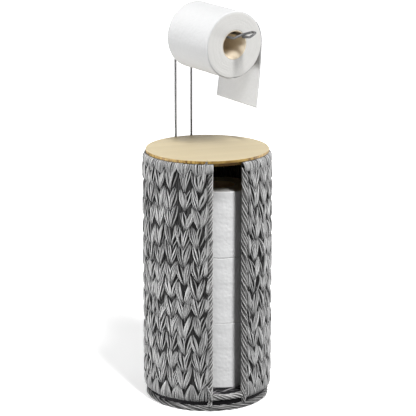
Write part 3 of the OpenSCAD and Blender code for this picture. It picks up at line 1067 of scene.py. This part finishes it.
# %% Form of the hanging end
TAIL = 96.5
TAIL_WIDTH = 97.6
THICKNESS = 0.32
CURL = 820.0
ON_ROLL = math.radians(38)
rest_r = HUNG_RADIUS + 0.3
lying = rest_r * ON_ROLL
total = lying + TAIL
across_n, along_n = 25, 61
size = across_n * along_n


def sheet_point(s, w, layer):
    """The point s along the sheet and w across it, on its under (0) or upper (1) side."""
    thick = layer * THICKNESS * min(1.0, s / 12) + 0.05
    if s < lying:
        a = ON_ROLL - s / rest_r
        x, y = (rest_r + thick - 0.2) * math.cos(a), (rest_r + thick - 0.2) * math.sin(a)
    else:
        a = (s - lying) / CURL
        down = (s - lying) / TAIL
        x = rest_r + thick - 0.2 - CURL * (1 - math.cos(a))
        x += 0.35 * down * math.sin(w / 98 * 7.1 + 0.6) * math.sin(down * 3)
        y = -CURL * math.sin(a)
    return roll_face + x * sideways + y * upward - (w + 0.2) * forward


print("hanging end:", round(lying, 1), "mm on the roll and", TAIL, "mm below it")

# %% Hanging end
sheet_points = [
    sheet_point(s, w, layer)
    for layer in (0, 1)
    for s in np.linspace(0, total, along_n)
    for w in np.linspace(0, TAIL_WIDTH, across_n)
]
faces = []
for i in range(along_n - 1):
    for j in range(across_n - 1):
        a, b = i * across_n + j, (i + 1) * across_n + j
        faces.append((size + a, size + a + 1, size + b + 1, size + b))
        faces.append((a, b, b + 1, a + 1))
rim_loop = (
    list(range(across_n))
    + [i * across_n + across_n - 1 for i in range(1, along_n)]
    + [(along_n - 1) * across_n + j for j in range(across_n - 2, -1, -1)]
    + [i * across_n for i in range(along_n - 2, 0, -1)]
)
for a, b in zip(rim_loop, rim_loop[1:] + rim_loop[:1]):
    faces.append((a, b, size + b, size + a))
tail = add_mesh("hung_roll_end", sheet_points, faces, shaded_tail_tissue)
coords = []
for p in tail.data.polygons:
    for v in p.vertices:
        i, j = divmod(v % size, across_n)
        coords.append((i * total / (along_n - 1) / DENT, j * TAIL_WIDTH / (across_n - 1) / DENT))
uv = tail.data.uv_layers.new(name="UVMap")
uv.data.foreach_set("uv", np.array(coords, np.float32).reshape(-1))
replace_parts(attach(tail, "hung_roll"), "roll_tail")
print("hanging end:", round(total, 1), "mm long")

# %% [markdown]
# ## Finishes on the CAD solids
# The boards and the wires inside the wraps could be modelled again here. They are simple
# enough to show as they are in CAD, so they only get their materials.

# %% CAD nodes
for name, material in (
    ("lid_board", bamboo_board),
    ("lid_plug", bamboo_board),
    ("floor_board", floor_paint),
    ("base_ring_wire", frame_wire),
    ("foot_wires", frame_wire),
    ("lower_hoop", frame_wire),
    ("rim_wire", frame_wire),
):
    mesh = nodes[name].data
    mesh.materials.clear()
    mesh.materials.append(material)
print("CAD nodes shown:", sum(not o.hide_render for o in nodes.values()))

# %% [markdown]
# ## The backdrop
# A product picture is taken on paper that runs from the floor up behind the object.
# Strong lamps could burn it out to white, and would burn out the tissue too. Instead the
# paper glows for the camera and for mirrors only, so it looks white while little of its
# light falls back on the object, and the object's shadow still shows on the floor.


# %% Backdrop
def backdrop():
    s = Surface("backdrop_paper")
    seen = s.node("ShaderNodeLightPath", output="Is Camera Ray")
    mirrored = s.node("ShaderNodeLightPath", output="Is Glossy Ray")
    through = s.node("ShaderNodeLightPath", output="Is Transmission Ray")
    path = (seen + mirrored + through).clamped()
    length = s.node("ShaderNodeVectorMath", {"operation": "LENGTH"}, {0: s.place()}, output="Value")
    glow = (length.step(0.3, 1.8) * 0.42 + 0.46) * path
    fluff = s.noise(s.place(), 3.0, 2.0)
    paper_colour = s.mix((0.15, 0.15, 0.15), (0.93, 0.93, 0.93), path)
    return s.finish(
        Base_Color=s.shade(paper_colour, fluff * 0.01 + 0.99),
        Roughness=0.9,
        Specular_IOR_Level=0.1,
        Emission_Color=s.shade((1.0, 1.0, 1.0), glow),
        Emission_Strength=1.0,
    )


HALF_WIDTH, FRONT, BACK, HEIGHT, SWEEP = 6000, -6000, 4000, 6000, 1500
profile = [(FRONT, 0.0)]
for a in np.linspace(0, math.pi / 2, 16):
    profile.append((BACK - SWEEP + SWEEP * math.sin(a), SWEEP - SWEEP * math.cos(a)))
profile.append((BACK, HEIGHT))
points = [(x, y, z) for y, z in profile for x in (-HALF_WIDTH, HALF_WIDTH)]
faces = [(i - 2, i - 1, i + 1, i) for i in range(2, len(points), 2)]
floor = add_mesh("studio_floor", points, faces, backdrop())
floor.rotation_euler = (0, 0, -heading)
print("backdrop:", len(faces), "faces")

# %% [markdown]
# ## Light
# A soft lamp stands low on each side and one hangs above. The key lamp stands high in
# front, a little to the right: its light comes under the lid on the front of the stored
# rolls but not on their tops, and draws the right post's shadow on them. The world is
# white where the camera sees it past the floor, and otherwise almost dark.

# %% World
world = bpy.data.worlds.new("studio")
bpy.context.scene.world = world
world.use_nodes = True
world_nodes = world.node_tree.nodes
sky = world_nodes["Background"]
seen_sky = world_nodes.new("ShaderNodeBackground")
for background, strength in ((sky, 0.07), (seen_sky, 1.0)):
    background.inputs["Color"].default_value = (1, 1, 1, 1)
    background.inputs["Strength"].default_value = strength
ray = world_nodes.new("ShaderNodeLightPath")
sky_mix = world_nodes.new("ShaderNodeMixShader")
for source, goal in (
    (ray.outputs["Is Camera Ray"], sky_mix.inputs[0]),
    (sky.outputs[0], sky_mix.inputs[1]),
    (seen_sky.outputs[0], sky_mix.inputs[2]),
    (sky_mix.outputs[0], world_nodes["World Output"].inputs["Surface"]),
):
    world.node_tree.links.new(source, goal)
print("world:", len(world_nodes), "nodes")


# %% Lamps
def lamp(name, angle, height, distance, sizes, power, target=(0, 0, 0.3)):
    """A round soft lamp at an angle from the slot and a height, both in degrees."""
    light = bpy.data.lights.new(name, "AREA")
    light.shape = "ELLIPSE"
    light.size, light.size_y = sizes
    light.energy = power
    made = bpy.data.objects.new(name, light)
    a, e = math.radians(angle), math.radians(height)
    direction = Vector((math.sin(a) * math.cos(e), -math.cos(a) * math.cos(e), math.sin(e)))
    target = Vector(target)
    made.location = target + distance * direction
    made.rotation_euler = (target - made.location).to_track_quat("-Z", "Y").to_euler()
    bpy.context.scene.collection.objects.link(made)


lamp("key", 6, 54, 4.4, (0.62, 2.0), 235)
lamp("left_soft", -96, -2, 1.4, (0.8, 0.7), 33, (0, 0, 0.11))
lamp("right_soft", 86, -2, 1.4, (0.8, 0.7), 16.5, (0, 0, 0.11))
lamp("top_soft", 0, 89, 1.5, (1.4, 1.4), 10, (0, 0, 0.5))

# %% [markdown]
